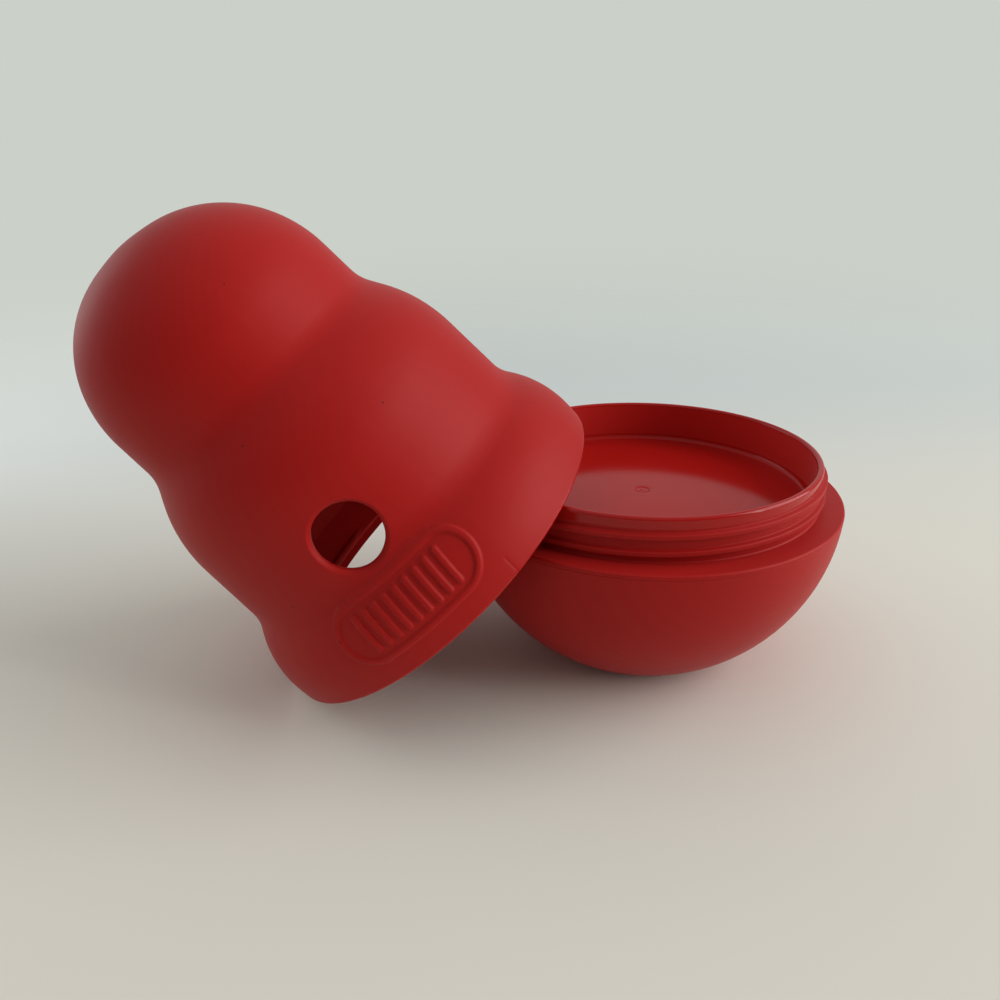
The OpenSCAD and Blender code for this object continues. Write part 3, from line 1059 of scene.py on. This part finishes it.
@dataclass
class Studio:
    """The pale floor, the soft light and the camera."""

    floor_half_m: float = 6.0
    floor_drop_mm: float = 0.05
    floor_roughness: float = 0.7
    floor_specular: float = 0.2
    # Painted light and shade on the floor: brighter in front, darker behind, and a painted pool of light
    # behind on the left.
    painted_light_near_floor: str = "#e4e1d6"
    painted_shade_far_floor: str = "#d3d9d6"
    painted_light_pool_floor: str = "#f3f7f5"
    painted_shade_reach_m: tuple[float, float] = (0.02, 0.30)
    painted_light_pool_reach_m: tuple[float, float] = (-0.05, -0.42)
    vanish_m: tuple[float, float] = (0.35, 2.2)
    backdrop: str = "#cbd0c8"
    room_colour: str = "#f4f6f5"
    room_levels: tuple[float, float] = (0.11, 0.64)
    room_side: Triple = (-0.3, 0.5, 0.81)
    room_fade: tuple[float, float] = (-0.35, 0.75)
    # The window gives the broad light, the wall a pale floor behind on the left, the pane a narrow glint.
    lamps: tuple[Lamp, ...] = (
        Lamp("window_lamp", (2.62, -0.6, 1.3), (-0.04, 0, 0.06), (2.7, 2.7), 80.0),
        Lamp("wall_lamp", (-1.3, 0.9, 0.35), (-0.6, 0.3, 0), (0.8, 0.8), 2.4),
        Lamp("pane_lamp", (1.9, -1.15, 0.78), (0, 0, 0.06), (0.1, 0.7), 5.0),
    )
    camera_mm: Triple = (-72.09, -224.27, 147.56)
    heading_deg: float = 6.629
    pitch_deg: float = 23.144
    roll_deg: float = -1.338
    focal_px: float = 780.0
    frame_px: float = 1000.0
    sensor_mm: float = 36.0
    clip_m: float = 0.01

    def floor(self) -> None:
        """Lays a matt sheet under the object, with painted light and shade across it."""
        half = self.floor_half_m
        mesh = bpy.data.meshes.new("floor_sheet")
        corners = [(-half, -half, 0), (half, -half, 0), (half, half, 0), (-half, half, 0)]
        mesh.from_pydata(corners, [], [(0, 1, 2, 3)])
        sheet = put("floor_sheet", mesh)
        sheet.location.z = -self.floor_drop_mm * MM
        material = new_material("paper_matt")
        tree = material.node_tree
        where = add_node(tree, "TexCoord").outputs["Object"]
        axes = add_node(tree, "SeparateXYZ", {0: where}).outputs
        # Painted light and shade: the sheet is warm and brighter in front and cooler and darker behind, with
        # a painted pool of light behind on the left.
        colour: object = linear(self.painted_light_pool_floor)
        layers = (("X", self.painted_light_pool_reach_m, self.painted_shade_far_floor), ("Y", self.painted_shade_reach_m, self.painted_light_near_floor))
        for axis, (start, end), paint in layers:
            reach = {"Value": axes[axis], "From Min": start, "From Max": end}
            share = add_node(tree, "MapRange", reach, interpolation_type="SMOOTHSTEP")
            mix = {"Factor": share, "A": linear(paint), "B": colour}
            colour = add_node(tree, "Mix", mix, data_type="RGBA")
        gloss = {"Roughness": self.floor_roughness, "Specular IOR Level": self.floor_specular}
        paper = add_node(tree, "BsdfPrincipled", {"Base Color": colour, **gloss})
        # The sheet fades out far from the object, so that no edge shows against the backdrop.
        away = add_node(tree, "VectorMath", {0: where}, operation="LENGTH")
        nearness = add_node(tree, "Math", {0: 1.0, 1: away}, operation="DIVIDE")
        whole, gone = (1 / distance for distance in self.vanish_m)
        fade = {"Value": nearness, "From Min": whole, "From Max": gone}
        vanish = add_node(tree, "MapRange", fade, interpolation_type="SMOOTHSTEP")
        clear = add_node(tree, "BsdfTransparent")
        both = add_node(tree, "MixShader", {"Fac": vanish, 1: paper, 2: clear})
        add_node(tree, "OutputMaterial", {"Surface": both})
        mesh.materials.append(material)

    def sky(self) -> None:
        """Surrounds the scene with pale light, brightest above and behind."""
        world = bpy.data.worlds.new("soft_room")
        bpy.context.scene.world = world
        world.use_nodes = True
        tree = world.node_tree
        tree.nodes.clear()
        where = add_node(tree, "TexCoord").outputs["Generated"]
        towards = add_node(tree, "VectorMath", {0: where, 1: self.room_side}, operation="DOT_PRODUCT")
        (dark, bright), (first, last) = self.room_levels, self.room_fade
        fade = {"Value": towards, "From Min": first, "From Max": last, "To Min": dark, "To Max": bright}
        level = add_node(tree, "MapRange", fade, interpolation_type="SMOOTHSTEP")
        glow = add_node(tree, "Background", {"Color": linear(self.room_colour), "Strength": level})
        seen = add_node(tree, "Background", {"Color": linear(self.backdrop), "Strength": 1.0})
        shown = add_node(tree, "LightPath").outputs["Is Camera Ray"]
        both = add_node(tree, "MixShader", {"Fac": shown, 1: glow, 2: seen})
        add_node(tree, "OutputWorld", {"Surface": both})

    def camera(self) -> None:
        """Sets up the camera at the photograph's place, heading, pitch and roll."""
        heading, pitch, roll = (math.radians(a) for a in (self.heading_deg, self.pitch_deg, self.roll_deg))
        level = math.cos(pitch)
        ahead = Vector((math.sin(heading) * level, math.cos(heading) * level, -math.sin(pitch)))
        right = Vector((math.cos(heading), -math.sin(heading), 0))
        up = right.cross(ahead)
        c, s = math.cos(roll), math.sin(roll)
        right, up = c * right + s * up, c * up - s * right
        lens = bpy.data.cameras.new("photo_camera")
        lens.sensor_width = self.sensor_mm
        lens.lens = self.focal_px / self.frame_px * self.sensor_mm
        lens.clip_start = self.clip_m
        holder = put("photo_camera", lens)
        turn = Matrix((right, up, -ahead)).transposed().to_4x4()
        holder.matrix_world = Matrix.Translation(Vector(self.camera_mm) * MM) @ turn
        bpy.context.scene.camera = holder

    def build(self) -> None:
        """Puts the whole studio up."""
        self.camera()
        self.floor()
        self.sky()
        for lamp in self.lamps:
            lamp.hang()
        bpy.context.scene.view_settings.view_transform = "Standard"


def ride(piece: bpy.types.Object, body: Body, node: str) -> None:
    """Hands a piece to its body and lets it stand for its node.

    Args:
        piece: the modelled piece.
        body: the body it moves with.
        node: the construction node that it replaces.
    """
    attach(piece, body.value)
    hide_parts(node)
    log.info("%s stands for %s on %s, %d faces", piece.name, node, body.value, len(piece.data.polygons))


def main() -> None:
    """Builds the studio and the pieces in order."""
    logging.basicConfig(level=logging.INFO, format="%(name)s: %(message)s")
    Studio().build()
    sizes = Sizes()
    # The satin of a spark-eroded cavity: an even, soft sheen.
    satin = MouldedPolypropylene("polypropylene_spark_eroded").build()
    # The closed insides, drawn off a plain core: dull, so that they sink into a deep red; that red is
    # lighter than the outside's, which is painted light brightening the hollows.
    inner = MouldedPolypropylene(
        "polypropylene_drawn_core_painted_light", red="#c51c16", deep_red="#b91914", specular=0.12, grazing_sheen=0.0,
        roughness=(0.55, 0.62),
    ).build()
    # The cup's floor, off a polished core: it mirrors the wall over it.
    polished = MouldedPolypropylene(
        "polypropylene_polished_core", specular=0.165, grazing_sheen=0.0, roughness=(0.10, 0.16),
        grain_mm=9.0, grain_depth_mm=0.01, speck_share=0.01,
    ).build()
    # The edges that hands and threads rub: a thin, bright line.
    rubbed = MouldedPolypropylene(
        "polypropylene_rubbed_edge", specular=0.25, grazing_sheen=0.0, roughness=(0.12, 0.16), grain_mm=3.0,
        grain_depth_mm=0.004,
    ).build()
    # The cup's inner wall, drawn off the core: a pale bloom at a slant, and a lighter red that is painted
    # light, brightening the wall inside the cup's hollow.
    drawn = MouldedPolypropylene(
        "polypropylene_drawn_wall_painted_light", red="#c4231e", deep_red="#b91f1a", grazing_sheen=0.09,
    ).build()
    ride(UpperShell(sizes).build((satin, inner, rubbed)), Body.SHELL, "upper_shell")
    ride(BaseBowl(sizes).build((satin, inner)), Body.BASE, "base_bowl")
    cup = ThreadedCup(sizes).build((satin, polished, rubbed, drawn))
    ride(cup, Body.BASE, "threaded_cup")
    ride(BallastWeight(sizes).build((CastIron().build(),)), Body.BASE, "ballast_weight")
    ride(BallastPad(sizes).build((ClosedCellFoam().build(),)), Body.BASE, "ballast_pad")
    bpy.context.view_layer.update()


if __name__ == "__main__":
    main()
